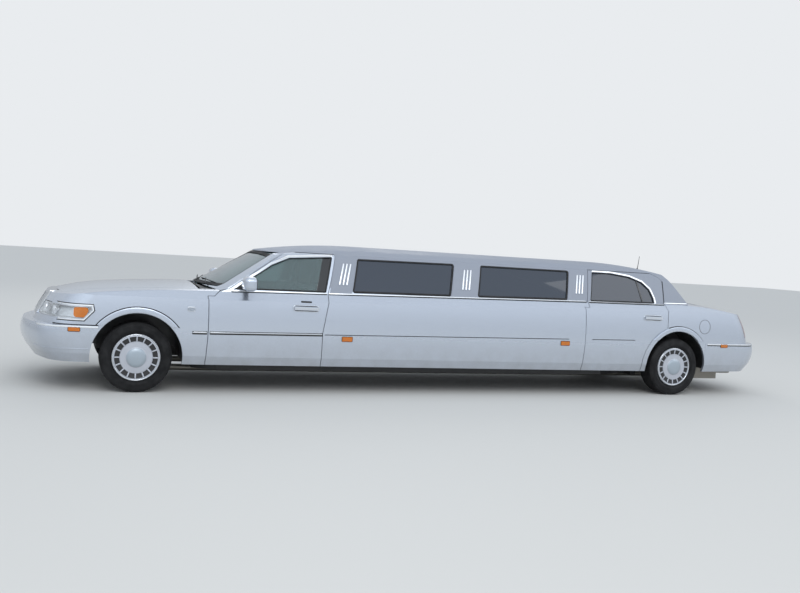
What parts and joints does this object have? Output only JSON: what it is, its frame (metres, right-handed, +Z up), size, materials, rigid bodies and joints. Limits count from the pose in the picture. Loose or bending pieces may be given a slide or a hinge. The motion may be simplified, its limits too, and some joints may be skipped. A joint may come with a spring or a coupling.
{
  "type": "stretch limousine",
  "caption": "Long four-door saloon with a lengthened passenger cabin, opening bonnet, boot and doors, turning wheels and linked steering.",
  "frame": {"origin": "on the ground at the middle of the car's length and width", "axes": "+X towards the tail, +Y towards the car's right side, +Z up"},
  "size_m": [8.5158, 2.28, 1.596],
  "materials": {
    "paint": "silver metallic",
    "roof_cover": "grey grained cover",
    "clear_glass": "lightly tinted",
    "dark_glass": "dark tint",
    "lamp": "clear lens",
    "tail_lens": "red lens",
    "amber_lens": "orange lens",
    "chrome": "polished",
    "frame": "black, satin",
    "iron": "rough",
    "steel": "dull",
    "tyre": "matte",
    "wheel": "silver",
    "black": "matte",
    "leather": "satin",
    "trim": "lacquered"
  },
  "bodies": {
    "body": {"roof": "roof_cover", "windscreen": "clear_glass", "rear_window": "dark_glass", "side_panels": "paint", "side_glass": "dark_glass", "headlamps": "lamp", "front_fenders": "paint", "nose_panel": "paint", "quarter_panels": "paint", "rear_deck": "paint", "tail_panel": "paint", "tail_lamps": "tail_lens", "front_bumper": "paint", "rear_bumper": "paint", "grille": "chrome", "cowl": "black", "chassis_frame": "frame", "floor_pan": "frame", "boot_floor": "frame", "engine_bay": "frame", "engine": "iron", "drive_shaft": "steel", "rear_axle": "iron", "front_suspension": "iron", "exhaust": "steel", "dashboard": "black", "front_seats": "leather", "partition": "black", "cabin_seats": "leather", "bar_cabinet": "trim", "side_markers": "amber_lens", "aerial": "black"},
    "bonnet": {"hood": "paint"},
    "boot_lid": {"trunk_lid": "paint"},
    "door_front_left": {"door_front_left": "paint", "door_glass_front_left": "clear_glass", "mirror_left": "paint"},
    "door_front_right": {"door_front_right": "paint", "door_glass_front_right": "clear_glass", "mirror_right": "paint"},
    "door_rear_left": {"door_rear_left": "paint", "door_glass_rear_left": "dark_glass"},
    "door_rear_right": {"door_rear_right": "paint", "door_glass_rear_right": "dark_glass"},
    "knuckle_left": {"knuckle_left": "iron"},
    "wheel_front_left": {"wheel_front_left": "wheel", "tyre_front_left": "tyre"},
    "wheel_rear_left": {"wheel_rear_left": "wheel", "tyre_rear_left": "tyre"},
    "knuckle_right": {"knuckle_right": "iron"},
    "wheel_front_right": {"wheel_front_right": "wheel", "tyre_front_right": "tyre"},
    "wheel_rear_right": {"wheel_rear_right": "wheel", "tyre_rear_right": "tyre"},
    "steering_wheel": {"steering_wheel": "black"}
  },
  "joints": [
    {"name": "bonnet_hinge", "type": "hinge", "parent": "body", "child": "bonnet", "pos_m": [-2.6765, 0, 0.97539], "axis": [0, 1, 0], "range_deg": [0, 50]},
    {"name": "boot_hinge", "type": "hinge", "parent": "body", "child": "boot_lid", "pos_m": [3.2885, 0, 1.026], "axis": [0, -1, 0], "range_deg": [0, 65]},
    {"name": "door_front_left_hinge", "type": "hinge", "parent": "body", "child": "door_front_left", "pos_m": [-2.5265, -0.955, 0.6], "axis": [0, 0, -1], "range_deg": [0, 65]},
    {"name": "door_front_right_hinge", "type": "hinge", "parent": "body", "child": "door_front_right", "pos_m": [-2.5265, 0.955, 0.6], "axis": [0, 0, 1], "range_deg": [0, 65]},
    {"name": "door_rear_left_hinge", "type": "hinge", "parent": "body", "child": "door_rear_left", "pos_m": [1.6195, -0.955, 0.6], "axis": [0, 0, -1], "range_deg": [0, 65]},
    {"name": "door_rear_right_hinge", "type": "hinge", "parent": "body", "child": "door_rear_right", "pos_m": [1.6195, 0.955, 0.6], "axis": [0, 0, 1], "range_deg": [0, 65]},
    {"name": "steering_wheel_turn", "type": "hinge", "parent": "body", "child": "steering_wheel", "pos_m": [-2.0965, -0.39, 0.9], "axis": [0.8785, 0, 0.4778], "range_deg": [-525, 525]},
    {"name": "steer_left", "type": "hinge", "parent": "body", "child": "knuckle_left", "pos_m": [-3.2165, -0.705, 0.33], "axis": [0, 0, 1], "range_deg": [-35, 35]},
    {"name": "steer_right", "type": "hinge", "parent": "body", "child": "knuckle_right", "pos_m": [-3.2165, 0.705, 0.33], "axis": [0, 0, 1], "range_deg": [-35, 35]},
    {"name": "wheel_front_left_spin", "type": "hinge", "parent": "knuckle_left", "child": "wheel_front_left", "pos_m": [-3.2165, -0.805, 0.33], "axis": [0, 1, 0], "continuous": true},
    {"name": "wheel_rear_left_spin", "type": "hinge", "parent": "body", "child": "wheel_rear_left", "pos_m": [2.8215, -0.832, 0.33], "axis": [0, 1, 0], "continuous": true},
    {"name": "wheel_front_right_spin", "type": "hinge", "parent": "knuckle_right", "child": "wheel_front_right", "pos_m": [-3.2165, 0.805, 0.33], "axis": [0, 1, 0], "continuous": true},
    {"name": "wheel_rear_right_spin", "type": "hinge", "parent": "body", "child": "wheel_rear_right", "pos_m": [2.8215, 0.832, 0.33], "axis": [0, 1, 0], "continuous": true}
  ],
  "couplings": [
    {"joint": "steer_left", "follows": "steering_wheel_turn", "ratio": 0.066667},
    {"joint": "steer_right", "follows": "steering_wheel_turn", "ratio": 0.066667}
  ]
}
